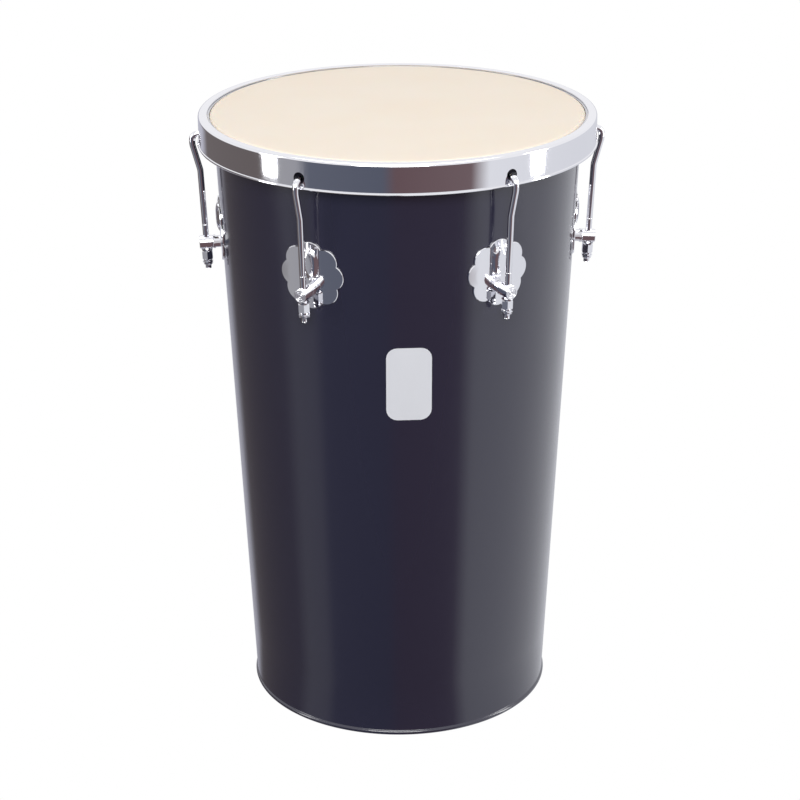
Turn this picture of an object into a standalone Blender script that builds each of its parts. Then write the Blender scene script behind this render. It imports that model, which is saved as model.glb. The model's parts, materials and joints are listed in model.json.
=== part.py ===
"""Tapered hand drum with a hooked counter hoop and six swivelling tuning lugs.

Metres, +Z up. The origin is the centre of the base's resting plane. The label
faces -Y, and azimuths are counted from -Y towards +X.
"""
from math import acos, atan2, ceil, cos, pi, radians, sin, sqrt, tan

import bmesh
import bpy
from mathutils import Matrix, Vector

# Fits
GAP = 0.0003
ROUND_STEPS = 60

# Shell: a rolled cone of sheet with a curled bead at each end
SHELL_BASE_RADIUS = 0.1492
SHELL_TOP_RADIUS = 0.1775
SHELL_WALL = 0.0016
BEARING_EDGE_HEIGHT = 0.5985
TOP_BEAD_RADIUS = 0.0025
BASE_BEAD_RADIUS = 0.0026
BASE_BEAD_PROUD = 0.0019
BASE_FLAT_ANGLE = 65.0

# Head and the ring that grips it
SKIN_THICKNESS = 0.0010
FLESH_HOOP_WIDTH = 0.0068
FLESH_HOOP_HEIGHT = 0.0065

# Counter hoop: a band with its top edge turned in
HOOP_RADIUS = 0.1915
HOOP_WALL = 0.0015
HOOP_HEIGHT = 0.0285
HOOP_SHOULDER = 0.0025
FLANGE_WIDTH = 0.0088
LIP_PROUD = 0.0012
LIP_HEIGHT = 0.0022
HOOK_HOLE_RADIUS = 0.0055
HOOK_HOLE_RISE = 0.0102

# Lugs
LUG_COUNT = 6
FIRST_LUG_AZIMUTH = 30.0
PIVOT_HEIGHT = 0.4710
PLATE_RISE = 0.0135
PLATE_TIP_RADIUS = 0.0325
PLATE_LOBES = 8
LOBE_RADIUS = 0.0125
PLATE_THICKNESS = 0.0014
BOSS_RISE = 0.0255
BOSS_HALF_WIDTH = 0.0080
BOSS_HALF_HEIGHT = 0.0145
BOSS_DEPTH = 0.0030
COLLAR_NECK_RADIUS = 0.0058
COLLAR_RING_RADIUS = 0.0067
COLLAR_RING_WIDTH = 0.0017
BARREL_RADIUS = 0.0065
BARREL_LENGTH = 0.0132
BARREL_START = 0.0093
BARREL_CHAMFER = 0.0006

# Hook rod, nut and washer
ROD_RADIUS = 0.0030
ROD_STANDOFF = 0.0160
ROD_TAIL = 0.0266
HOOK_REACH = 0.0062
HOOK_BEND = 0.0062
HOOK_END_INSET = 0.0055
SWAN_BEND = 0.0140
SWAN_TOP_DROP = 0.0105
SWAN_HEIGHT = 0.0260
WASHER_RADIUS = 0.0054
WASHER_THICKNESS = 0.0010
NUT_ACROSS_FLATS = 0.0100
NUT_HEIGHT = 0.0151
NUT_GROOVE_DEPTH = 0.0009
NUT_GROOVE_WIDTH = 0.0012

# Screws that hold the lugs from inside the shell
BOLT_RADIUS = 0.0020
BOLT_HEAD_RADIUS = 0.0040
BOLT_HEAD_HEIGHT = 0.0022
BOLT_BITE = 0.0028
BOSS_BITE = 0.0012

# Label
LABEL_WIDTH = 0.0425
LABEL_HEIGHT = 0.0730
LABEL_CORNER = 0.0105
LABEL_THICKNESS = 0.0003
LABEL_CENTRE_HEIGHT = 0.3820
LABEL_AZIMUTH = 0.9

# Sizes worked out from the ones above
TAPER = (SHELL_TOP_RADIUS - SHELL_BASE_RADIUS) / BEARING_EDGE_HEIGHT
LEAN = atan2(TAPER, 1.0)
HOOP_TOP = BEARING_EDGE_HEIGHT + TOP_BEAD_RADIUS * 0.6
HOOP_FOOT = HOOP_TOP - HOOP_HEIGHT
HOLE_HEIGHT = HOOP_FOOT + HOOK_HOLE_RISE
HOOK_HEIGHT = HOLE_HEIGHT - HOOK_HOLE_RADIUS + ROD_RADIUS + GAP


def wall_radius(height):
    """Outer radius of the shell's cone at a height."""
    return SHELL_BASE_RADIUS + TAPER * height


def clear_scene():
    for item in list(bpy.data.objects):
        bpy.data.objects.remove(item, do_unlink=True)


def make_material(name, colour, roughness, metallic):
    material = bpy.data.materials.new(name)
    material.use_nodes = True
    shader = material.node_tree.nodes["Principled BSDF"]
    shader.inputs["Base Color"].default_value = (*colour, 1.0)
    shader.inputs["Roughness"].default_value = roughness
    shader.inputs["Metallic"].default_value = metallic
    return material


def mesh_from(name, points, faces, smooth_angle=35.0):
    """A mesh with outward normals, shaded smooth except at sharp edges."""
    mesh = bpy.data.meshes.new(name)
    mesh.from_pydata([tuple(p) for p in points], [], faces)
    body = bmesh.new()
    body.from_mesh(mesh)
    bmesh.ops.recalc_face_normals(body, faces=body.faces)
    body.to_mesh(mesh)
    body.free()
    mesh.shade_smooth()
    mesh.set_sharp_from_angle(angle=radians(smooth_angle))
    return mesh


def place(name, mesh, material, parent=None, location=(0.0, 0.0, 0.0)):
    item = bpy.data.objects.new(name, mesh)
    bpy.context.scene.collection.objects.link(item)
    if not item.data.materials:
        item.data.materials.append(material)
    item.location = location
    item.parent = parent
    return item


def loft(rings, closed_ends=True, loop=False):
    """Faces that join equal rings of points, with filled ends or a closed loop."""
    count = len(rings[0])
    points = [p for ring in rings for p in ring]
    faces = []
    pairs = len(rings) if loop else len(rings) - 1
    for i in range(pairs):
        low = i * count
        high = (i + 1) % len(rings) * count
        for j in range(count):
            k = (j + 1) % count
            faces.append((low + j, low + k, high + k, high + j))
    if closed_ends and not loop:
        faces.append(tuple(reversed(range(count))))
        faces.append(tuple(range((len(rings) - 1) * count, len(rings) * count)))
    return points, faces


def turned(profile, steps, axis="Z"):
    """A ring turned from a closed profile of (radius, height) points, all off the axis."""
    rings = []
    for radius, height in profile:
        ring = []
        for i in range(steps):
            angle = 2 * pi * i / steps
            flat = (radius * cos(angle), radius * sin(angle))
            ring.append(Vector((*flat, height)) if axis == "Z" else Vector((flat[0], height, -flat[1])))
        rings.append(ring)
    return loft(rings, loop=True)


def turned_solid(profile, steps, axis="Z"):
    """A solid turned from an open profile, with flat ends."""
    rings = []
    for radius, height in profile:
        ring = []
        for i in range(steps):
            angle = 2 * pi * i / steps
            flat = (radius * cos(angle), radius * sin(angle))
            ring.append(Vector((*flat, height)) if axis == "Z" else Vector((flat[0], height, -flat[1])))
        rings.append(ring)
    return loft(rings)


def arc(centre, radius, start, end, steps):
    """Points of an arc in the profile plane, angles in degrees."""
    points = []
    for i in range(steps + 1):
        angle = radians(start + (end - start) * i / steps)
        points.append((centre[0] + radius * cos(angle), centre[1] + radius * sin(angle)))
    return points


def cut(target, cutter_parts, operation="DIFFERENCE"):
    """Cuts or joins helper shapes, given as points and faces, and bakes the result."""
    points = []
    faces = []
    for part_points, part_faces in cutter_parts:
        start = len(points)
        points.extend(part_points)
        faces.extend(tuple(start + i for i in face) for face in part_faces)
    cutter = place(target.name + "_cutter", mesh_from(target.name + "_cutter", points, faces), GUIDE)
    cutter.matrix_world = target.matrix_world
    cutter.hide_render = True
    cutter.display_type = "WIRE"
    boolean = target.modifiers.new("opening", "BOOLEAN")
    boolean.operation = operation
    boolean.object = cutter
    boolean.solver = "EXACT"
    bpy.context.view_layer.update()
    evaluated = target.evaluated_get(bpy.context.evaluated_depsgraph_get())
    mesh = bpy.data.meshes.new_from_object(evaluated)
    target.modifiers.clear()
    target.data = mesh
    bpy.data.objects.remove(cutter, do_unlink=True)


def rod_shape(start, end, radius, steps):
    """A straight round bar between two points, for cuts."""
    direction = (end - start).normalized()
    side = direction.orthogonal().normalized()
    other = direction.cross(side)
    rings = []
    for centre in (start, end):
        ring = []
        for i in range(steps):
            angle = 2 * pi * (i + 0.5) / steps
            ring.append(centre + radius * (cos(angle) * side + sin(angle) * other))
        rings.append(ring)
    return loft(rings)


def lug_matrix(azimuth):
    """Lug frame: origin on the wall at the pivot, Y out of the wall, Z up along it."""
    angle = radians(azimuth)
    outward = Vector((sin(angle), -cos(angle), 0.0))
    up = Vector((0.0, 0.0, 1.0))
    normal = cos(LEAN) * outward - sin(LEAN) * up
    rise = sin(LEAN) * outward + cos(LEAN) * up
    side = normal.cross(rise)
    frame = Matrix((side, normal, rise)).transposed().to_4x4()
    frame.translation = outward * wall_radius(PIVOT_HEIGHT) + up * PIVOT_HEIGHT
    return frame


def wall_drop(across, along, height):
    """How far the curved wall falls away from the tangent plane at a place."""
    radius = wall_radius(height + along * cos(LEAN)) / cos(LEAN)
    return sqrt(radius * radius - across * across) - radius


def curved_sheet(outline, centre_rise, height, offset, thickness, fractions=(0.5, 1.0)):
    """A sheet of the given outline bent to the wall, as points and faces."""
    points = []
    faces = []
    count = len(outline)
    for level in (offset, offset + thickness):
        start = len(points)
        points.append(Vector((0.0, wall_drop(0.0, centre_rise, height) + level, centre_rise)))
        for fraction in fractions:
            for across, along in outline:
                x = across * fraction
                z = centre_rise + along * fraction
                points.append(Vector((x, wall_drop(x, z, height) + level, z)))
        for j in range(count):
            k = (j + 1) % count
            faces.append((start, start + 1 + j, start + 1 + k))
            for ring in range(len(fractions) - 1):
                inner = start + 1 + ring * count
                outer = inner + count
                faces.append((inner + j, outer + j, outer + k, inner + k))
    half = len(points) // 2
    for j in range(count):
        k = (j + 1) % count
        a = half - count + j
        b = half - count + k
        faces.append((a, b, b + half, a + half))
    return points, faces


def build_shell():
    bead_rise = BASE_BEAD_RADIUS * sin(radians(BASE_FLAT_ANGLE))
    bead_centre = (wall_radius(0.0) + BASE_BEAD_PROUD - BASE_BEAD_RADIUS, bead_rise)
    crown_centre = (SHELL_TOP_RADIUS - SHELL_WALL / 2, BEARING_EDGE_HEIGHT - TOP_BEAD_RADIUS)
    foot = bead_rise + BASE_BEAD_RADIUS
    neck = crown_centre[1] - TOP_BEAD_RADIUS
    profile = arc(bead_centre, BASE_BEAD_RADIUS, -BASE_FLAT_ANGLE, 65, 4)
    profile.append((wall_radius(foot), foot + 0.0004))
    profile.append((wall_radius(neck), neck))
    profile += arc(crown_centre, TOP_BEAD_RADIUS, -50, 230, 7)
    profile.append((wall_radius(neck) - SHELL_WALL, neck))
    profile.append((wall_radius(foot) - SHELL_WALL, foot + 0.0004))
    profile += arc(bead_centre, BASE_BEAD_RADIUS, 150, 180 + BASE_FLAT_ANGLE, 2)
    item = place("shell", mesh_from("shell", *turned(profile, ROUND_STEPS)), PAINT)
    cutters = []
    for azimuth in LUG_AZIMUTHS:
        frame = lug_matrix(azimuth)
        for rise in (0.0, BOSS_RISE):
            start = frame @ Vector((0.0, -4 * SHELL_WALL, rise))
            end = frame @ Vector((0.0, SHELL_WALL, rise))
            cutters.append(rod_shape(start, end, BOLT_RADIUS + GAP, 8))
    cut(item, cutters)


def build_head():
    crown = (SHELL_TOP_RADIUS - SHELL_WALL / 2, BEARING_EDGE_HEIGHT - TOP_BEAD_RADIUS)
    inner = TOP_BEAD_RADIUS + GAP
    outer = inner + SKIN_THICKNESS
    channel_floor = HOOP_TOP - HOOP_WALL - GAP - FLESH_HOOP_HEIGHT - GAP
    ring_in = crown[0] + outer + GAP
    ring_out = ring_in + FLESH_HOOP_WIDTH
    skirt_out = ring_out + GAP + SKIN_THICKNESS
    lap_top = channel_floor + FLESH_HOOP_HEIGHT * 0.7
    rim = arc(crown, outer, 90, 0, 4)
    rim.append((crown[0] + outer, channel_floor))
    rim.append((ring_out + GAP, channel_floor))
    rim.append((ring_out + GAP, lap_top))
    rim.append((skirt_out, lap_top))
    rim.append((skirt_out, channel_floor - SKIN_THICKNESS))
    rim.append((crown[0] + inner, channel_floor - SKIN_THICKNESS))
    rim += arc(crown, inner, 0, 90, 4)
    middle = 0.35 * SHELL_TOP_RADIUS
    profile = [(middle, crown[1] + outer)] + rim + [(middle, crown[1] + inner)]
    skin = turned_solid(profile, ROUND_STEPS)
    place("head_skin", mesh_from("head_skin", *skin), SKIN)
    low = channel_floor + GAP
    high = low + FLESH_HOOP_HEIGHT
    square = [(ring_in, low), (ring_out, low), (ring_out, high), (ring_in, high)]
    place("flesh_hoop", mesh_from("flesh_hoop", *turned(square, ROUND_STEPS)), STEEL)


def build_counter_hoop():
    inner = HOOP_RADIUS - HOOP_WALL
    shoulder = (HOOP_RADIUS - HOOP_SHOULDER, HOOP_TOP - HOOP_SHOULDER)
    flange_edge = HOOP_RADIUS - FLANGE_WIDTH
    lip = LIP_PROUD
    profile = [(inner, HOOP_FOOT), (HOOP_RADIUS + lip * 0.6, HOOP_FOOT)]
    profile.append((HOOP_RADIUS + lip, HOOP_FOOT + LIP_HEIGHT * 0.3))
    profile.append((HOOP_RADIUS + lip * 0.8, HOOP_FOOT + LIP_HEIGHT * 0.75))
    profile.append((HOOP_RADIUS, HOOP_FOOT + LIP_HEIGHT))
    profile += arc(shoulder, HOOP_SHOULDER, 0, 90, 4)
    profile.append((flange_edge, HOOP_TOP))
    profile.append((flange_edge, HOOP_TOP - HOOP_WALL))
    profile += arc(shoulder, HOOP_SHOULDER - HOOP_WALL, 90, 0, 2)
    item = place("counter_hoop", mesh_from("counter_hoop", *turned(profile, ROUND_STEPS)), CHROME)
    cutters = []
    for azimuth in LUG_AZIMUTHS:
        angle = radians(azimuth)
        outward = Vector((sin(angle), -cos(angle), 0.0))
        centre = Vector((0.0, 0.0, HOLE_HEIGHT))
        start = centre + outward * (inner - 0.004)
        end = centre + outward * (HOOP_RADIUS + 0.004)
        cutters.append(rod_shape(start, end, HOOK_HOLE_RADIUS, 16))
    cut(item, cutters)


def rounded_path(corners, bends, step_degrees=24.0):
    """A path through corners in the (y, z) plane, with each inner corner rounded."""
    path = [Vector(corners[0])]
    for i in range(1, len(corners) - 1):
        before = Vector(corners[i - 1]) - Vector(corners[i])
        after = Vector(corners[i + 1]) - Vector(corners[i])
        before.normalize()
        after.normalize()
        turn = pi - acos(before.dot(after))
        reach = bends[i - 1] * tan(turn / 2)
        middle = (before + after).normalized() * (bends[i - 1] / cos(turn / 2))
        centre = Vector(corners[i]) + middle
        first = Vector(corners[i]) + before * reach - centre
        last = Vector(corners[i]) + after * reach - centre
        start = atan2(first.y, first.x)
        sweep = atan2(last.y, last.x) - start
        sweep = (sweep + pi) % (2 * pi) - pi
        steps = max(2, ceil(abs(sweep) / radians(step_degrees)))
        for k in range(steps + 1):
            angle = start + sweep * k / steps
            path.append(centre + bends[i - 1] * Vector((cos(angle), sin(angle))))
    path.append(Vector(corners[-1]))
    return path


def swept(path, radius, sides):
    """A round bar along a path in the plane x = 0."""
    rings = []
    for i, point in enumerate(path):
        before = path[max(i - 1, 0)]
        after = path[min(i + 1, len(path) - 1)]
        along = (after - before).normalized()
        across = Vector((-along.y, along.x))
        ring = []
        for j in range(sides):
            angle = 2 * pi * (j + 0.5) / sides
            flat = point + across * radius * cos(angle)
            ring.append(Vector((radius * sin(angle), flat.x, flat.y)))
        rings.append(ring)
    return loft(rings)


def to_lug(radius, height):
    """Carries a place in the drum's half plane into the lug frame."""
    out = radius - wall_radius(PIVOT_HEIGHT)
    up = height - PIVOT_HEIGHT
    return (out * cos(LEAN) - up * sin(LEAN), out * sin(LEAN) + up * cos(LEAN))


def hook_mesh():
    leg = HOOP_RADIUS + HOOK_REACH
    swan_top = HOOK_HEIGHT - SWAN_TOP_DROP
    knee = to_lug(leg, swan_top)
    corners = [
        to_lug(HOOP_RADIUS - HOOP_WALL - HOOK_END_INSET, HOOK_HEIGHT),
        to_lug(leg, HOOK_HEIGHT),
        knee,
        (ROD_STANDOFF, knee[1] - SWAN_HEIGHT),
        (ROD_STANDOFF, -ROD_TAIL),
    ]
    path = rounded_path(corners, [HOOK_BEND, SWAN_BEND, SWAN_BEND])
    return mesh_from("hook_rod", *swept(path, ROD_RADIUS, 8), smooth_angle=50.0)


def rosette_outline(steps_per_lobe=5):
    spacing = 2 * pi / PLATE_LOBES
    reach = PLATE_TIP_RADIUS - LOBE_RADIUS
    points = []
    for i in range(PLATE_LOBES * steps_per_lobe):
        angle = spacing * i / steps_per_lobe
        off = (angle + spacing / 2) % spacing - spacing / 2
        radius = reach * cos(off) + sqrt(LOBE_RADIUS ** 2 - (reach * sin(off)) ** 2)
        points.append((radius * sin(angle), radius * cos(angle)))
    return points


def plate_mesh():
    """The rosette with its oval boss and the two holes for the screws behind it."""
    sheet = curved_sheet(rosette_outline(), PLATE_RISE, PIVOT_HEIGHT, GAP, PLATE_THICKNESS)
    item = place("plate_pattern", mesh_from("lug_plate", *sheet), CHROME)
    face = GAP + PLATE_THICKNESS
    rings = []
    for scale, depth in ((1.0, -0.5), (1.0, 0.4), (0.75, 1.0)):
        ring = []
        for j in range(16):
            angle = 2 * pi * j / 16
            x = BOSS_HALF_WIDTH * scale * sin(angle)
            z = BOSS_RISE + BOSS_HALF_HEIGHT * scale * cos(angle)
            base = wall_drop(x, z, PIVOT_HEIGHT) + face
            ring.append(Vector((x, base + (BOSS_DEPTH * depth if depth > 0 else -PLATE_THICKNESS / 2), z)))
        rings.append(ring)
    cut(item, [loft(rings)], "UNION")
    through = rod_shape(Vector((0, -0.002, 0)), Vector((0, 0.006, 0)), BOLT_RADIUS + GAP, 8)
    blind_end = face + BOSS_BITE + GAP
    blind = rod_shape(Vector((0, -0.002, BOSS_RISE)), Vector((0, blind_end, BOSS_RISE)), BOLT_RADIUS + GAP, 8)
    cut(item, [through, blind])
    mesh = item.data
    bpy.data.objects.remove(item, do_unlink=True)
    return mesh


def collar_mesh():
    start = GAP + PLATE_THICKNESS + GAP
    end = BARREL_START - GAP
    ring_start = end - COLLAR_RING_WIDTH
    bore = BOLT_RADIUS + GAP
    profile = [(bore, start), (COLLAR_NECK_RADIUS, start), (COLLAR_NECK_RADIUS, ring_start)]
    profile += [(COLLAR_RING_RADIUS, ring_start), (COLLAR_RING_RADIUS, end), (bore, end)]
    return mesh_from("pivot_collar", *turned(profile, 16, "Y"))


def barrel_mesh():
    """The turned barrel with a blind bore for its bolt and a cross hole for the rod."""
    start = BARREL_START
    end = BARREL_START + BARREL_LENGTH
    inset = BARREL_RADIUS - BARREL_CHAMFER
    profile = [(inset, start), (BARREL_RADIUS, start + BARREL_CHAMFER)]
    profile += [(BARREL_RADIUS, end - BARREL_CHAMFER), (inset, end)]
    item = place("barrel_pattern", mesh_from("swivel_barrel", *turned_solid(profile, 20, "Y")), CHROME)
    cross = rod_shape(
        Vector((0, ROD_STANDOFF, -2 * BARREL_RADIUS)),
        Vector((0, ROD_STANDOFF, 2 * BARREL_RADIUS)),
        ROD_RADIUS + GAP, 12)
    pivot = rod_shape(
        Vector((0, start - 0.003, 0)), Vector((0, start + BOLT_BITE + GAP, 0)), BOLT_RADIUS + GAP, 8)
    cut(item, [cross, pivot])
    mesh = item.data
    bpy.data.objects.remove(item, do_unlink=True)
    return mesh


def bolt_mesh(name, tip):
    """A domed screw whose head lies on the shell's inner wall."""
    under = -(SHELL_WALL + GAP)
    profile = [(BOLT_HEAD_RADIUS * 0.7, under - BOLT_HEAD_HEIGHT), (BOLT_HEAD_RADIUS, under - 0.0008)]
    profile += [(BOLT_HEAD_RADIUS, under), (BOLT_RADIUS, under), (BOLT_RADIUS, tip)]
    return mesh_from(name, *turned_solid(profile, 10, "Y"))


def washer_mesh():
    top = -(BARREL_RADIUS + GAP)
    bore = ROD_RADIUS + GAP
    profile = [(bore, top - WASHER_THICKNESS), (WASHER_RADIUS, top - WASHER_THICKNESS)]
    profile += [(WASHER_RADIUS, top), (bore, top)]
    return mesh_from("nut_washer", *turned(profile, 12))


def nut_mesh():
    """A long hexagon nut whose lower end is turned with two grooves and a chamfer."""
    top = -(BARREL_RADIUS + GAP + WASHER_THICKNESS + GAP)
    foot = top - NUT_HEIGHT
    corner = NUT_ACROSS_FLATS / sqrt(3)
    flat = NUT_ACROSS_FLATS / 2
    groove = flat - NUT_GROOVE_DEPTH
    width = NUT_GROOVE_WIDTH
    levels = [(top, flat), (top - 0.0007, corner), (foot + 5.6 * width, corner), (foot + 5.0 * width, groove)]
    levels += [(foot + 4.2 * width, groove), (foot + 3.8 * width, corner), (foot + 3.0 * width, corner)]
    levels += [(foot + 2.6 * width, groove), (foot + 1.8 * width, groove), (foot + 1.4 * width, flat)]
    levels += [(foot, flat - 0.0015)]
    steps = 12
    bore = ROD_RADIUS + GAP
    rings = []
    for level, limit in levels:
        ring = []
        for i in range(steps):
            angle = 2 * pi * i / steps
            off = (angle + pi / 6) % (pi / 3) - pi / 6
            radius = min(limit, flat / cos(pi / 6 - abs(off)))
            ring.append(Vector((radius * cos(angle), radius * sin(angle), level)))
        rings.append(ring)
    for level in (foot, top):
        rings.append([Vector((bore * cos(2 * pi * i / steps), bore * sin(2 * pi * i / steps), level))
                      for i in range(steps)])
    return mesh_from("tuning_nut", *loft(rings, loop=True))


def build_lugs():
    plate = plate_mesh()
    collar = collar_mesh()
    barrel = barrel_mesh()
    hook = hook_mesh()
    washer = washer_mesh()
    nut = nut_mesh()
    pivot_bolt = bolt_mesh("pivot_bolt", BARREL_START + BOLT_BITE)
    boss_screw = bolt_mesh("boss_screw", GAP + PLATE_THICKNESS + BOSS_BITE)
    for number, azimuth in enumerate(LUG_AZIMUTHS, start=1):
        frame = bpy.data.objects.new(f"lug_frame_{number}", None)
        bpy.context.scene.collection.objects.link(frame)
        frame.matrix_world = lug_matrix(azimuth)
        place(f"lug_plate_{number}", plate, CHROME, frame)
        place(f"pivot_collar_{number}", collar, CHROME, frame)
        place(f"swivel_barrel_{number}", barrel, CHROME, frame)
        place(f"pivot_bolt_{number}", pivot_bolt, STEEL, frame)
        place(f"boss_screw_{number}", boss_screw, STEEL, frame, (0.0, 0.0, BOSS_RISE))
        place(f"hook_rod_{number}", hook, CHROME, frame)
        place(f"nut_washer_{number}", washer, CHROME, frame, (0.0, ROD_STANDOFF, 0.0))
        place(f"tuning_nut_{number}", nut, CHROME, frame, (0.0, ROD_STANDOFF, 0.0))


def build_label():
    half_width = LABEL_WIDTH / 2
    half_height = LABEL_HEIGHT / 2
    outline = []
    for across, along, start in ((1, 1, 0), (-1, 1, 90), (-1, -1, 180), (1, -1, 270)):
        centre = (across * (half_width - LABEL_CORNER), along * (half_height - LABEL_CORNER))
        outline += arc(centre, LABEL_CORNER, start, start + 90, 5)
    sheet = curved_sheet(outline, 0.0, LABEL_CENTRE_HEIGHT, GAP, LABEL_THICKNESS)
    item = place("label", mesh_from("label", *sheet), PAPER)
    angle = radians(LABEL_AZIMUTH)
    frame = lug_matrix(LABEL_AZIMUTH)
    outward = Vector((sin(angle), -cos(angle), 0.0))
    frame.translation = outward * wall_radius(LABEL_CENTRE_HEIGHT) + Vector((0, 0, LABEL_CENTRE_HEIGHT))
    item.matrix_world = frame


clear_scene()
LUG_AZIMUTHS = [FIRST_LUG_AZIMUTH + 360.0 / LUG_COUNT * i for i in range(LUG_COUNT)]
PAINT = make_material("navy_paint", (0.022, 0.022, 0.055), 0.12, 0.0)
CHROME = make_material("chrome", (0.78, 0.78, 0.80), 0.08, 1.0)
STEEL = make_material("plated_steel", (0.55, 0.55, 0.56), 0.3, 1.0)
SKIN = make_material("head_skin", (1.0, 0.87, 0.74), 0.6, 0.0)
PAPER = make_material("label_film", (0.80, 0.81, 0.84), 0.35, 0.0)
GUIDE = make_material("guide", (1.0, 0.0, 0.0), 0.5, 0.0)
build_shell()
build_head()
build_counter_hoop()
build_lugs()
build_label()
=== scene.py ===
import json
from math import acos, atan2, ceil, cos, pi, radians, sin, sqrt, tan
import bpy
from mathutils import Matrix, Vector

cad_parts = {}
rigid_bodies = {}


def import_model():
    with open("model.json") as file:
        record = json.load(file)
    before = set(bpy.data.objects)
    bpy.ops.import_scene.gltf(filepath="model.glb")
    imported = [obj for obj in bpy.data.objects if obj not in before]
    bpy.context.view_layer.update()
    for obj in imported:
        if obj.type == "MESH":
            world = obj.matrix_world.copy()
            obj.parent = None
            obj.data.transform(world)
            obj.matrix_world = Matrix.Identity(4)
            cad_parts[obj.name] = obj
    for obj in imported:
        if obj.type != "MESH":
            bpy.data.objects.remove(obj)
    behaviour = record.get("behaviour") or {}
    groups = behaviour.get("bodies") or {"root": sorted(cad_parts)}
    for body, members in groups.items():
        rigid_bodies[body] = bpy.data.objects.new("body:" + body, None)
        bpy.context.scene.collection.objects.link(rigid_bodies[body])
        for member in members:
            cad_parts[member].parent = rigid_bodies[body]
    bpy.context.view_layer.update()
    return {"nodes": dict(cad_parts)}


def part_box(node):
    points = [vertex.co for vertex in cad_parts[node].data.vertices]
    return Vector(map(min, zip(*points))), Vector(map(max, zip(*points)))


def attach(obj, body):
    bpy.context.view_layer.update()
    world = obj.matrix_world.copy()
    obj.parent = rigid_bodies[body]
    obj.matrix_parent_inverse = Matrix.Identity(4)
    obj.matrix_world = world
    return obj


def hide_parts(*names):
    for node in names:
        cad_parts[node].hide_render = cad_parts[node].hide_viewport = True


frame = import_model()

# Camera: a long lens, a little above the drum and turned slightly to its left.
# Its place agrees with the outlines of the head, the shell and the base.
VIEW_AZIMUTH = -2.45
EYE_DISTANCE = 2.165
EYE_HEIGHT = 1.1655
LOOK_DOWN = 21.80
LOOK_ASIDE = 0.037
TILT = -0.21
FOCAL_PIXELS = 2311.0
PICTURE_PIXELS = 800.0
SENSOR_WIDTH = 36.0
turn = Matrix.Rotation(radians(VIEW_AZIMUTH), 3, "Z")
forward = Vector((sin(radians(LOOK_ASIDE)), cos(radians(LOOK_ASIDE)), -tan(radians(LOOK_DOWN)))).normalized()
level = forward.cross(Vector((0.0, 0.0, 1.0))).normalized()
upright = level.cross(forward)
side = cos(radians(TILT)) * level + sin(radians(TILT)) * upright
top = cos(radians(TILT)) * upright - sin(radians(TILT)) * level
pose = Matrix((turn @ side, turn @ top, turn @ -forward)).transposed().to_4x4()
pose.translation = turn @ Vector((0.0, -EYE_DISTANCE, EYE_HEIGHT))
lens = bpy.data.cameras.new("view")
lens.sensor_width = SENSOR_WIDTH
lens.lens = FOCAL_PIXELS / PICTURE_PIXELS * SENSOR_WIDTH
eye = bpy.data.objects.new("view", lens)
eye.matrix_world = pose
bpy.context.scene.collection.objects.link(eye)
bpy.context.scene.camera = eye

# Studio floor: a wide sweep of paper that the drum stands on. It is white to the
# eye and dull grey to the light, and polished metal sees the room past it.
bpy.context.scene.view_settings.view_transform = "Standard"
FLOOR_SIZE = 30.0
FLOOR_TONE = (0.16, 0.16, 0.18)
FLOOR_ROUGHNESS = 0.9


def new_material(name, colour, roughness, metallic=0.0):
    material = bpy.data.materials.new(name)
    material.use_nodes = True
    shader = material.node_tree.nodes["Principled BSDF"]
    shader.inputs["Base Color"].default_value = (*colour, 1.0)
    shader.inputs["Roughness"].default_value = roughness
    shader.inputs["Metallic"].default_value = metallic
    return material, material.node_tree, shader


bpy.ops.object.select_all(action="DESELECT")
bpy.ops.mesh.primitive_plane_add(size=FLOOR_SIZE, location=(0.0, 0.0, 0.0))
floor = bpy.context.object
floor.name = "studio_floor"
floor.visible_glossy = False
paper, tree, shader = new_material("studio_white", FLOOR_TONE, FLOOR_ROUGHNESS)
seen = tree.nodes.new("ShaderNodeLightPath")
glow = tree.nodes.new("ShaderNodeEmission")
either = tree.nodes.new("ShaderNodeMixShader")
tree.links.new(seen.outputs["Is Camera Ray"], either.inputs["Fac"])
tree.links.new(shader.outputs["BSDF"], either.inputs[1])
tree.links.new(glow.outputs["Emission"], either.inputs[2])
tree.links.new(either.outputs["Shader"], tree.nodes["Material Output"].inputs["Surface"])
floor.data.materials.append(paper)

# Studio room: white behind the drum and a dim even fill. Polished metal sees pale
# walls above the horizon, and below it bright and dark screens that stand around.
FILL_TINT = (0.98, 0.98, 1.0)
FILL_STRENGTH = 0.22
WALL_TINT = (0.95, 0.95, 0.97)
HORIZON = (0.02, 0.12)
SCREENS = [
    (0.000, (0.55, 0.55, 0.62)), (0.070, (0.50, 0.50, 0.58)), (0.100, (0.16, 0.14, 0.14)),
    (0.255, (0.14, 0.12, 0.12)), (0.285, (0.36, 0.36, 0.38)), (0.330, (0.34, 0.34, 0.37)),
    (0.350, (0.12, 0.13, 0.17)), (0.470, (0.10, 0.11, 0.15)), (0.490, (0.14, 0.09, 0.10)),
    (0.610, (0.17, 0.12, 0.13)), (0.640, (0.80, 0.81, 0.85)), (0.910, (0.72, 0.73, 0.78)),
    (1.000, (0.60, 0.60, 0.66)),
]
room = bpy.data.worlds.new("studio_room")
bpy.context.scene.world = room
room.use_nodes = True
tree = room.node_tree
fill = tree.nodes["Background"]
fill.inputs["Color"].default_value = (*FILL_TINT, 1.0)
fill.inputs["Strength"].default_value = FILL_STRENGTH
direction = tree.nodes.new("ShaderNodeTexCoord")
split = tree.nodes.new("ShaderNodeSeparateXYZ")
tree.links.new(direction.outputs["Generated"], split.inputs["Vector"])
ahead = tree.nodes.new("ShaderNodeMath")
ahead.operation = "MULTIPLY"
ahead.inputs[1].default_value = -1.0
tree.links.new(split.outputs["Y"], ahead.inputs[0])
around = tree.nodes.new("ShaderNodeMath")
around.operation = "ARCTAN2"
tree.links.new(split.outputs["X"], around.inputs[0])
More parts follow.
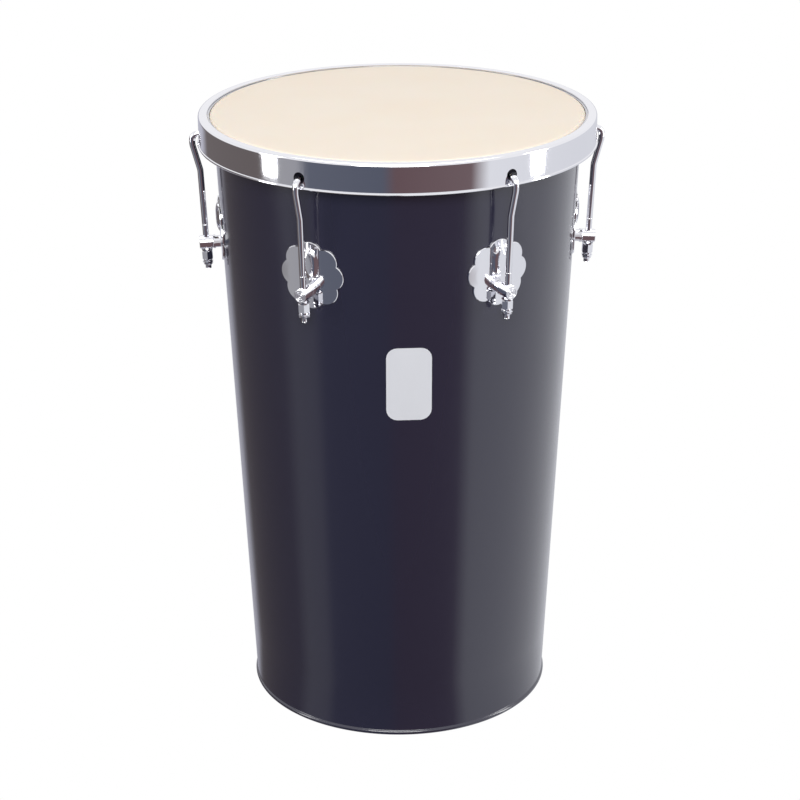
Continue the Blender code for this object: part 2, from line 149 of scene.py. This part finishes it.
tree.links.new(ahead.outputs["Value"], around.inputs[1])
shift = tree.nodes.new("ShaderNodeMapRange")
shift.inputs["From Min"].default_value = -pi
shift.inputs["From Max"].default_value = pi
tree.links.new(around.outputs["Value"], shift.inputs["Value"])
ramp = tree.nodes.new("ShaderNodeValToRGB")
tree.links.new(shift.outputs["Result"], ramp.inputs["Fac"])
stops = ramp.color_ramp.elements
for position, _ in SCREENS[1:-1]:
    stops.new(position)
for stop, (_, colour) in zip(stops, SCREENS):
    stop.color = (*colour, 1.0)
above = tree.nodes.new("ShaderNodeMapRange")
above.inputs["From Min"].default_value = HORIZON[0]
above.inputs["From Max"].default_value = HORIZON[1]
tree.links.new(split.outputs["Z"], above.inputs["Value"])
walls = tree.nodes.new("ShaderNodeMix")
walls.data_type = "RGBA"
walls.inputs[7].default_value = (*WALL_TINT, 1.0)
tree.links.new(above.outputs["Result"], walls.inputs["Factor"])
tree.links.new(ramp.outputs["Color"], walls.inputs[6])
mirrored = tree.nodes.new("ShaderNodeBackground")
tree.links.new(walls.outputs[2], mirrored.inputs["Color"])
white = tree.nodes.new("ShaderNodeBackground")
white.inputs["Color"].default_value = (1.0, 1.0, 1.0, 1.0)
rays = tree.nodes.new("ShaderNodeLightPath")
gloss = tree.nodes.new("ShaderNodeMixShader")
tree.links.new(rays.outputs["Is Glossy Ray"], gloss.inputs["Fac"])
tree.links.new(fill.outputs["Background"], gloss.inputs[1])
tree.links.new(mirrored.outputs["Background"], gloss.inputs[2])
either = tree.nodes.new("ShaderNodeMixShader")
tree.links.new(rays.outputs["Is Camera Ray"], either.inputs["Fac"])
tree.links.new(gloss.outputs["Shader"], either.inputs[1])
tree.links.new(white.outputs["Background"], either.inputs[2])
tree.links.new(either.outputs["Shader"], tree.nodes["World Output"].inputs["Surface"])

# Studio lamps: two tall soft panels at the sides, one overhead, and a large one
# in front that lights the painted wall.
AIM = Vector((0.0, 0.0, 0.35))
LAMPS = [
    ("left_panel", (-2.6, -0.6, 0.9), (0.5, 2.2), 16.0),
    ("right_panel", (2.6, -0.4, 0.9), (0.5, 2.2), 26.0),
    ("top_panel", (0.0, 0.6, 3.0), (2.0, 1.4), 18.0),
    ("front_panel", (-0.3, -3.0, 2.2), (2.4, 1.6), 90.0),
]
for name, spot, size, power in LAMPS:
    bpy.ops.object.light_add(type="AREA", location=spot)
    panel = bpy.context.object
    panel.name = name
    panel.data.shape = "RECTANGLE"
    panel.data.size = size[0]
    panel.data.size_y = size[1]
    panel.data.energy = power
    panel.rotation_euler = (AIM - Vector(spot)).to_track_quat("-Z", "Y").to_euler()

# Shell: sheet metal rolled to a leaning wall, with a curled bead at each end, and
# open at the foot. It is sprayed gloss navy under a clear coat.
SHELL_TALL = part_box("shell")[1].z
FOOT_RADIUS = 0.1492
MOUTH_RADIUS = 0.1775
WALL = 0.0016
FOOT_BEAD = 0.0026
FOOT_FLAT = 65.0
FOOT_PROUD = 0.0019
FOOT_INNER_START = 150.0
CROWN_BEAD = 0.0025
CROWN_CURL = (-50.0, 230.0)
BEAD_NECK = 0.0004
FOOT_BEAD_STEPS = 12
FOOT_INNER_STEPS = 8
CROWN_STEPS = 18
WALL_BANDS = 12
SHELL_STEPS = 240
SHELL_CREASE = 50.0
SLOPE = (MOUTH_RADIUS - FOOT_RADIUS) / SHELL_TALL
LEAN = atan2(SLOPE, 1.0)
NAVY = (0.020, 0.019, 0.040)
NAVY_ROUGHNESS = (0.18, 0.28)
CLEAR_COAT = 0.8
CLEAR_ROUGHNESS = 0.06
SPRAY_PATCHES = 40.0
SPRAY_GRAIN = 260.0
SPRAY_STRENGTH = 0.05
SPRAY_DEPTH = 0.0002


def wall_radius(height):
    return FOOT_RADIUS + SLOPE * height


def arc(centre, radius, start, end, steps):
    points = []
    for i in range(steps + 1):
        angle = radians(start + (end - start) * i / steps)
        points.append((centre[0] + radius * cos(angle), centre[1] + radius * sin(angle)))
    return points


def add_circle(name, radius, height, steps):
    bpy.ops.object.select_all(action="DESELECT")
    bpy.ops.mesh.primitive_circle_add(vertices=steps, radius=radius, location=(0.0, 0.0, height))
    item = bpy.context.object
    item.name = name
    item.data.name = name
    bpy.ops.object.transform_apply(location=True, rotation=True, scale=True)
    return item


def raise_rings(rings):
    """Extrudes the selected ring through the rest of a list of (radius, height) rings."""
    bpy.ops.object.mode_set(mode="EDIT")
    for (radius, height), (next_radius, next_height) in zip(rings, rings[1:]):
        rise = (0.0, 0.0, next_height - height)
        bpy.ops.mesh.extrude_edges_move(TRANSFORM_OT_translate={"value": rise})
        scale = next_radius / radius
        bpy.ops.transform.resize(value=(scale, scale, 1.0), center_override=(0.0, 0.0, next_height))


def close_shape(item, crease, hollow=False):
    """Joins the first ring to the last, or fills both, and shades the shape."""
    bpy.ops.mesh.select_all(action="DESELECT")
    bpy.ops.mesh.select_non_manifold()
    if hollow:
        bpy.ops.mesh.bridge_edge_loops()
    else:
        bpy.ops.mesh.fill_holes(sides=0)
    bpy.ops.mesh.select_all(action="SELECT")
    bpy.ops.mesh.normals_make_consistent(inside=False)
    bpy.ops.object.mode_set(mode="OBJECT")
    item.data.shade_smooth()
    item.data.set_sharp_from_angle(angle=radians(crease))


def lathe(name, profile, steps, crease, hollow=False):
    item = add_circle(name, *profile[0], steps)
    raise_rings(profile)
    close_shape(item, crease, hollow)
    return item


def add_noise(tree, scale, detail=4.0):
    place = tree.nodes.new("ShaderNodeTexCoord")
    noise = tree.nodes.new("ShaderNodeTexNoise")
    noise.inputs["Scale"].default_value = scale
    noise.inputs["Detail"].default_value = detail
    tree.links.new(place.outputs["Object"], noise.inputs["Vector"])
    return noise.outputs["Fac"]


def vary(tree, source, socket, limits):
    spread = tree.nodes.new("ShaderNodeMapRange")
    spread.inputs["To Min"].default_value = limits[0]
    spread.inputs["To Max"].default_value = limits[1]
    tree.links.new(source, spread.inputs["Value"])
    tree.links.new(spread.outputs["Result"], socket)


def roughen(tree, shader, source, strength, depth):
    bump = tree.nodes.new("ShaderNodeBump")
    bump.inputs["Strength"].default_value = strength
    bump.inputs["Distance"].default_value = depth
    tree.links.new(source, bump.inputs["Height"])
    tree.links.new(bump.outputs["Normal"], shader.inputs["Normal"])


def paint(item, material):
    item.data.materials.clear()
    item.data.materials.append(material)


def fit(item, material, body, node):
    paint(item, material)
    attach(item, body)
    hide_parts(node)


foot = (FOOT_RADIUS + FOOT_PROUD - FOOT_BEAD, FOOT_BEAD * sin(radians(FOOT_FLAT)))
crown = (MOUTH_RADIUS - WALL / 2, SHELL_TALL - CROWN_BEAD)
wall_foot = foot[1] + FOOT_BEAD + BEAD_NECK
wall_head = crown[1] - CROWN_BEAD
profile = arc(foot, FOOT_BEAD, -FOOT_FLAT, FOOT_FLAT, FOOT_BEAD_STEPS)
for i in range(WALL_BANDS + 1):
    height = wall_foot + (wall_head - wall_foot) * i / WALL_BANDS
    profile.append((wall_radius(height), height))
profile += arc(crown, CROWN_BEAD, *CROWN_CURL, CROWN_STEPS)
profile += [(wall_radius(wall_head) - WALL, wall_head), (wall_radius(wall_foot) - WALL, wall_foot)]
profile += arc(foot, FOOT_BEAD, FOOT_INNER_START, 180.0 + FOOT_FLAT, FOOT_INNER_STEPS)
shell = lathe("drum_shell_skin", profile, SHELL_STEPS, SHELL_CREASE, hollow=True)
navy, tree, shader = new_material("navy_paint", NAVY, NAVY_ROUGHNESS[0])
shader.inputs["Coat Weight"].default_value = CLEAR_COAT
shader.inputs["Coat Roughness"].default_value = CLEAR_ROUGHNESS
vary(tree, add_noise(tree, SPRAY_PATCHES), shader.inputs["Roughness"], NAVY_ROUGHNESS)
roughen(tree, shader, add_noise(tree, SPRAY_GRAIN), SPRAY_STRENGTH, SPRAY_DEPTH)
fit(shell, navy, "drum_shell", "shell")

# Head: a calf-coloured skin drawn flat over the shell's upper bead. Its edge is
# lapped round a plated steel ring, which the hoop presses down.
hoop_low, hoop_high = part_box("counter_hoop")
SKIN = 0.001
FIT = 0.0003
RING_WIDTH = 0.0068
RING_HEIGHT = 0.0065
LAP_SHARE = 0.7
BAND_SHEET = 0.0015
CENTRE_RADIUS = 0.0004
SKIN_RINGS = 8
BEND_STEPS = 12
HEAD_STEPS = 200
HEAD_CREASE = 60.0
SKIN_LIGHT = (1.0, 0.90, 0.79)
SKIN_DARK = (0.98, 0.85, 0.70)
SKIN_ROUGHNESS = 0.6
SKIN_GLOW = 0.1
SKIN_GLOW_REACH = (0.004, 0.002, 0.001)
MOTTLE_SCALE = 14.0
MOTTLE_DETAIL = 6.0
PORE_SCALE = 420.0
PORE_STRENGTH = 0.12
PORE_DEPTH = 0.0004
PLATING_TINT = (0.60, 0.60, 0.62)
PLATING_ROUGHNESS = (0.25, 0.4)
PLATING_SCALE = 300.0
inside = CROWN_BEAD + FIT
outside = inside + SKIN
channel = hoop_high[2] - BAND_SHEET - 2 * FIT - RING_HEIGHT
ring_out = crown[0] + outside + FIT + RING_WIDTH + FIT
lap_top = channel + RING_HEIGHT * LAP_SHARE
spokes = [crown[0] * i / SKIN_RINGS for i in range(1, SKIN_RINGS)]
profile = [(CENTRE_RADIUS, crown[1] + outside)]
profile += [(radius, crown[1] + outside) for radius in spokes]
profile += arc(crown, outside, 90.0, 0.0, BEND_STEPS)
profile += [(crown[0] + outside, channel), (ring_out, channel)]
profile += [(ring_out, lap_top), (ring_out + SKIN, lap_top)]
profile += [(ring_out + SKIN, channel - SKIN), (crown[0] + inside, channel - SKIN)]
profile += arc(crown, inside, 0.0, 90.0, BEND_STEPS)
profile += [(radius, crown[1] + inside) for radius in reversed(spokes)]
profile += [(CENTRE_RADIUS, crown[1] + inside)]
membrane = lathe("head_membrane", profile, HEAD_STEPS, HEAD_CREASE)
hide, tree, shader = new_material("cream_skin", SKIN_LIGHT, SKIN_ROUGHNESS)
shader.inputs["Subsurface Weight"].default_value = SKIN_GLOW
shader.inputs["Subsurface Radius"].default_value = SKIN_GLOW_REACH
tint = tree.nodes.new("ShaderNodeMix")
tint.data_type = "RGBA"
tint.inputs[6].default_value = (*SKIN_LIGHT, 1.0)
tint.inputs[7].default_value = (*SKIN_DARK, 1.0)
tree.links.new(add_noise(tree, MOTTLE_SCALE, MOTTLE_DETAIL), tint.inputs["Factor"])
tree.links.new(tint.outputs[2], shader.inputs["Base Color"])
roughen(tree, shader, add_noise(tree, PORE_SCALE), PORE_STRENGTH, PORE_DEPTH)
fit(membrane, hide, "hoop_and_head", "head_skin")
plating, tree, shader = new_material("dull_plating", PLATING_TINT, PLATING_ROUGHNESS[0], 1.0)
vary(tree, add_noise(tree, PLATING_SCALE), shader.inputs["Roughness"], PLATING_ROUGHNESS)
paint(bpy.data.objects["flesh_hoop"], plating)

# Counter hoop: a rolled steel band with its top turned in over a round shoulder,
# a small lip below and a hole for each hook. It is polished and chromed.
BAND_RADIUS = 0.1915
SHOULDER = 0.0025
FLANGE = 0.0088
FLANGE_ROUND = 0.0004
LIP = 0.0012
LIP_TALL = 0.0022
LIP_SHAPE = ((0.6, 0.0), (1.0, 0.3), (0.8, 0.75), (0.0, 1.0))
HOLE = 0.0055
HOLE_RISE = 0.0102
DRILL_LENGTH = 0.02
DRILL_STEPS = 40
SHOULDER_STEPS = 12
SHOULDER_INNER_STEPS = 6
HOOP_STEPS = 240
HOOP_CREASE = 40.0
FIRST_LUG = 30.0
CHROME_TINT = (0.86, 0.86, 0.89)
CHROME_ROUGHNESS = (0.04, 0.10)
CHROME_HAZE = 90.0
CHROME_RIPPLE = 60.0
RIPPLE_STRENGTH = 0.06
RIPPLE_DEPTH = 0.0003
lugs = sum(name.startswith("lug_plate_") for name in frame["nodes"])
azimuths = [FIRST_LUG + 360.0 / lugs * i for i in range(lugs)]


def outward(azimuth):
    return Vector((sin(radians(azimuth)), -cos(radians(azimuth)), 0.0))


bottom = hoop_low[2]
summit = hoop_high[2]
bend = (BAND_RADIUS - SHOULDER, summit - SHOULDER)
profile = [(BAND_RADIUS - BAND_SHEET, bottom)]
profile += [(BAND_RADIUS + LIP * out, bottom + LIP_TALL * up) for out, up in LIP_SHAPE]
profile += arc(bend, SHOULDER, 0.0, 90.0, SHOULDER_STEPS)
profile += [(BAND_RADIUS - FLANGE + FLANGE_ROUND, summit), (BAND_RADIUS - FLANGE, summit - FLANGE_ROUND)]
profile += [(BAND_RADIUS - FLANGE, summit - BAND_SHEET)]
profile += arc(bend, SHOULDER - BAND_SHEET, 90.0, 0.0, SHOULDER_INNER_STEPS)
hoop = lathe("hoop_band", profile, HOOP_STEPS, HOOP_CREASE, hollow=True)
for azimuth in azimuths:
    bpy.ops.mesh.primitive_cylinder_add(
        vertices=DRILL_STEPS, radius=HOLE, depth=DRILL_LENGTH,
        location=outward(azimuth) * BAND_RADIUS + Vector((0.0, 0.0, bottom + HOLE_RISE)),
        rotation=outward(azimuth).to_track_quat("Z", "Y").to_euler())
    drill = bpy.context.object
    opening = hoop.modifiers.new("hook_hole", "BOOLEAN")
    opening.object = drill
    opening.solver = "EXACT"
    bpy.context.view_layer.objects.active = hoop
    bpy.ops.object.modifier_apply(modifier="hook_hole")
    bpy.data.objects.remove(drill, do_unlink=True)
hoop.data.set_sharp_from_angle(angle=radians(HOOP_CREASE))
chrome, tree, shader = new_material("polished_chrome", CHROME_TINT, CHROME_ROUGHNESS[0], 1.0)
vary(tree, add_noise(tree, CHROME_HAZE), shader.inputs["Roughness"], CHROME_ROUGHNESS)
roughen(tree, shader, add_noise(tree, CHROME_RIPPLE), RIPPLE_STRENGTH, RIPPLE_DEPTH)
fit(hoop, chrome, "hoop_and_head", "counter_hoop")

# Lug plates: each is stamped from sheet with eight round lobes and a plain oval
# boss, bent to the wall, chromed, and held by two screws from inside.
PIVOT = 0.4710
PLATE_RISE = 0.0135
LOBES = 8
LOBE_STEPS = 14
LOBE_REACH = 0.0200
LOBE_ROUND = 0.0125
SHEET = 0.0014
EDGE_STRAIGHT = 0.6
EDGE_TOP = 0.985
CENTRE_SHARE = 0.02
BACK_SHARES = (0.4, 0.75, 1.0)
FACE_SHARES = 13
FACE_FIRST = 0.8
FACE_STEP = 0.06
BOSS_RISE = 0.0255
BOSS_HALF_WIDTH = 0.0080
BOSS_HALF_HEIGHT = 0.0145
BOSS_DEPTH = 0.0030
BOSS_STEEPNESS = 1.35
PLATE_CREASE = 30.0


def lug_frame(azimuth):
    up = Vector((0.0, 0.0, 1.0))
    normal = cos(LEAN) * outward(azimuth) - sin(LEAN) * up
    rise = sin(LEAN) * outward(azimuth) + cos(LEAN) * up
    matrix = Matrix((normal.cross(rise), normal, rise)).transposed().to_4x4()
    matrix.translation = outward(azimuth) * wall_radius(PIVOT) + up * PIVOT
    return matrix


def wall_drop(across, along):
    radius = wall_radius(PIVOT + along * cos(LEAN)) / cos(LEAN)
    return sqrt(radius * radius - across * across) - radius


def boss_swell(across, along):
    far = (across / BOSS_HALF_WIDTH) ** 2 + ((along - BOSS_RISE) / BOSS_HALF_HEIGHT) ** 2
    return BOSS_DEPTH * sqrt(min(1.0, max(0.0, BOSS_STEEPNESS * (1.0 - far))))


def lobed(point):
    """Carries a point of the unit circle out to the plate's outline."""
    spacing = 2 * pi / LOBES
    off = (atan2(point.x, point.y) + spacing / 2) % spacing - spacing / 2
    reach = LOBE_REACH * cos(off) + sqrt(LOBE_ROUND ** 2 - (LOBE_REACH * sin(off)) ** 2)
    return Vector((point.x * reach, point.y * reach, point.z))


def copy_to(pattern, name, matrix):
    item = bpy.data.objects.new(name, pattern.data.copy())
    item.data.transform(matrix)
    bpy.context.scene.collection.objects.link(item)
    return item


front = FIT + SHEET
levels = [(share, FIT) for share in (CENTRE_SHARE, *BACK_SHARES)]
levels += [(1.0, FIT + SHEET * EDGE_STRAIGHT), (EDGE_TOP, front)]
levels += [(FACE_FIRST - FACE_STEP * i, front) for i in range(FACE_SHARES)]
levels.append((CENTRE_SHARE, front))
rosette = add_circle("rosette", 1.0, 0.0, LOBES * LOBE_STEPS)
for vertex in rosette.data.vertices:
    point = lobed(vertex.co)
    vertex.co = (point.x * CENTRE_SHARE, point.y * CENTRE_SHARE, FIT)
raise_rings(levels)
bpy.ops.object.mode_set(mode="OBJECT")
for vertex in rosette.data.vertices:
    across, along, depth = vertex.co
    along += PLATE_RISE
    swell = boss_swell(across, along) if depth > SHEET else 0.0
    vertex.co = (across, wall_drop(across, along) + depth + swell, along)
bpy.ops.object.mode_set(mode="EDIT")
close_shape(rosette, PLATE_CREASE)
for number, azimuth in enumerate(azimuths, start=1):
    plate = copy_to(rosette, f"rosette_{number}", lug_frame(azimuth))
    fit(plate, chrome, "drum_shell", f"lug_plate_{number}")
    paint(bpy.data.objects[f"pivot_collar_{number}"], chrome)
    paint(bpy.data.objects[f"pivot_bolt_{number}"], plating)
    paint(bpy.data.objects[f"boss_screw_{number}"], plating)
bpy.data.objects.remove(rosette, do_unlink=True)

# Hook rods: six millimetre steel wire that enters the hoop's hole, bends tightly
# round it, swans in under the band and then follows the wall. The foot is threaded.
WIRE = 0.0030
WIRE_SIDES = 20
WIRE_CREASE = 60.0
WELD = 0.000003
STANDOFF = 0.0160
REACH = 0.0062
END_INSET = 0.0055
SWAN = 0.0140
SWAN_DROP = 0.0105
SWAN_TALL = 0.0260
TAIL = 0.0266
TAIL_SHARE = 0.8
BEND_STEP = 6.0
LEAST_BENDS = 3
THREAD_PITCH = 0.0010
THREAD_DEPTH = 0.00028
THREAD_TALL = 0.0450
THREAD_ROOT = 0.25
THREAD_CREST = 0.75
hook_height = bottom + HOLE_RISE - HOLE + WIRE + FIT


def to_lug(radius, height):
    """Carries a place in the drum's half plane into the lug's frame."""
    out = radius - wall_radius(PIVOT)
    up = height - PIVOT
    return Vector((out * cos(LEAN) - up * sin(LEAN), out * sin(LEAN) + up * cos(LEAN)))


def bent_path(corners, bends):
    path = [corners[0]]
    for last, corner, following, bend in zip(corners, corners[1:], corners[2:], bends):
        before = (last - corner).normalized()
        after = (following - corner).normalized()
        half = (pi - acos(before.dot(after))) / 2
        centre = corner + (before + after).normalized() * (bend / cos(half))
        first = corner + before * bend * tan(half) - centre
        end = corner + after * bend * tan(half) - centre
        start = atan2(first.y, first.x)
        sweep = (atan2(end.y, end.x) - start + pi) % (2 * pi) - pi
        steps = max(LEAST_BENDS, ceil(abs(sweep) / radians(BEND_STEP)))
        for k in range(steps + 1):
            angle = start + sweep * k / steps
            path.append(centre + bend * Vector((cos(angle), sin(angle))))
    return path + [corners[-1]]


leg = BAND_RADIUS + REACH
knee = to_lug(leg, hook_height - SWAN_DROP)
thread_top = THREAD_TALL - TAIL
corners = [
    to_lug(BAND_RADIUS - BAND_SHEET - END_INSET, hook_height),
    to_lug(leg, hook_height),
    knee,
    Vector((STANDOFF, knee.y - SWAN_TALL)),
    Vector((STANDOFF, thread_top)),
]
path = [(point, 1.0) for point in bent_path(corners, [REACH, SWAN, SWAN])]
for i in range(int(THREAD_TALL / THREAD_PITCH)):
    for share, width in ((THREAD_ROOT, 1.0 - THREAD_DEPTH / WIRE), (THREAD_CREST, 1.0)):
        path.append((Vector((STANDOFF, thread_top - (i + share) * THREAD_PITCH)), width))
path.append((Vector((STANDOFF, -TAIL)), TAIL_SHARE))
curve = bpy.data.curves.new("wire", "CURVE")
curve.dimensions = "3D"
curve.bevel_depth = WIRE
curve.bevel_resolution = WIRE_SIDES // 2 - 2
curve.use_fill_caps = True
spline = curve.splines.new("POLY")
spline.points.add(len(path) - 1)
for point, (place, width) in zip(spline.points, path):
    point.co = (0.0, place.x, place.y, 1.0)
    point.radius = width
wire = bpy.data.objects.new("wire", curve)
bpy.context.scene.collection.objects.link(wire)
bpy.ops.object.select_all(action="DESELECT")
wire.select_set(True)
bpy.context.view_layer.objects.active = wire
bpy.ops.object.convert(target="MESH")
bpy.ops.object.mode_set(mode="EDIT")
bpy.ops.mesh.select_all(action="SELECT")
bpy.ops.mesh.remove_doubles(threshold=WELD)
close_shape(wire, WIRE_CREASE)
for number, azimuth in enumerate(azimuths, start=1):
    rod = copy_to(wire, f"rod_{number}", lug_frame(azimuth))
    fit(rod, chrome, f"hook_{number}", f"hook_rod_{number}")
bpy.data.objects.remove(wire, do_unlink=True)

# Barrels: bar turned on a lathe, so the end face keeps fine rings and a centre
# mark. The rod passes through each, with its washer and nut below, all chromed.
BARREL = 0.0065
BARREL_START = 0.0093
BARREL_LONG = 0.0132
CHAMFER = 0.0006
BACK_CENTRE = 0.0005
FACE_CENTRE = 0.0002
CENTRE_DEPTH = 0.0005
TOOL_DEPTH = 0.0002
TOOL_RINGS = ((0.72, 0.68, 0.64), (0.42, 0.38, 0.34))
CENTRE_RIM = 0.16
BARREL_STEPS = 48
BARREL_CREASE = 30.0
face = BARREL_START + BARREL_LONG
profile = [(BACK_CENTRE, BARREL_START), (BARREL - CHAMFER, BARREL_START), (BARREL, BARREL_START + CHAMFER)]
profile += [(BARREL, face - CHAMFER), (BARREL - CHAMFER, face)]
for outer, middle, inner in TOOL_RINGS:
    profile += [(BARREL * outer, face), (BARREL * middle, face - TOOL_DEPTH), (BARREL * inner, face)]
profile += [(BARREL * CENTRE_RIM, face), (FACE_CENTRE, face - CENTRE_DEPTH)]
pattern = lathe("barrel", profile, BARREL_STEPS, BARREL_CREASE)
pattern.data.transform(Matrix.Rotation(radians(-90.0), 4, "X"))
for number, azimuth in enumerate(azimuths, start=1):
    barrel = copy_to(pattern, f"barrel_{number}", lug_frame(azimuth))
    fit(barrel, chrome, f"swivel_{number}", f"swivel_barrel_{number}")
    paint(bpy.data.objects[f"nut_washer_{number}"], chrome)
    paint(bpy.data.objects[f"tuning_nut_{number}"], chrome)
bpy.data.objects.remove(pattern, do_unlink=True)

# Label: a bare pale film with round corners, stuck to the painted wall between
# the two front lugs.
FILM_TINT = (0.80, 0.81, 0.85)
FILM_ROUGHNESS = (0.3, 0.42)
FILM_SCALE = 120.0
film, tree, shader = new_material("label_film", FILM_TINT, FILM_ROUGHNESS[0])
vary(tree, add_noise(tree, FILM_SCALE), shader.inputs["Roughness"], FILM_ROUGHNESS)
paint(bpy.data.objects["label"], film)
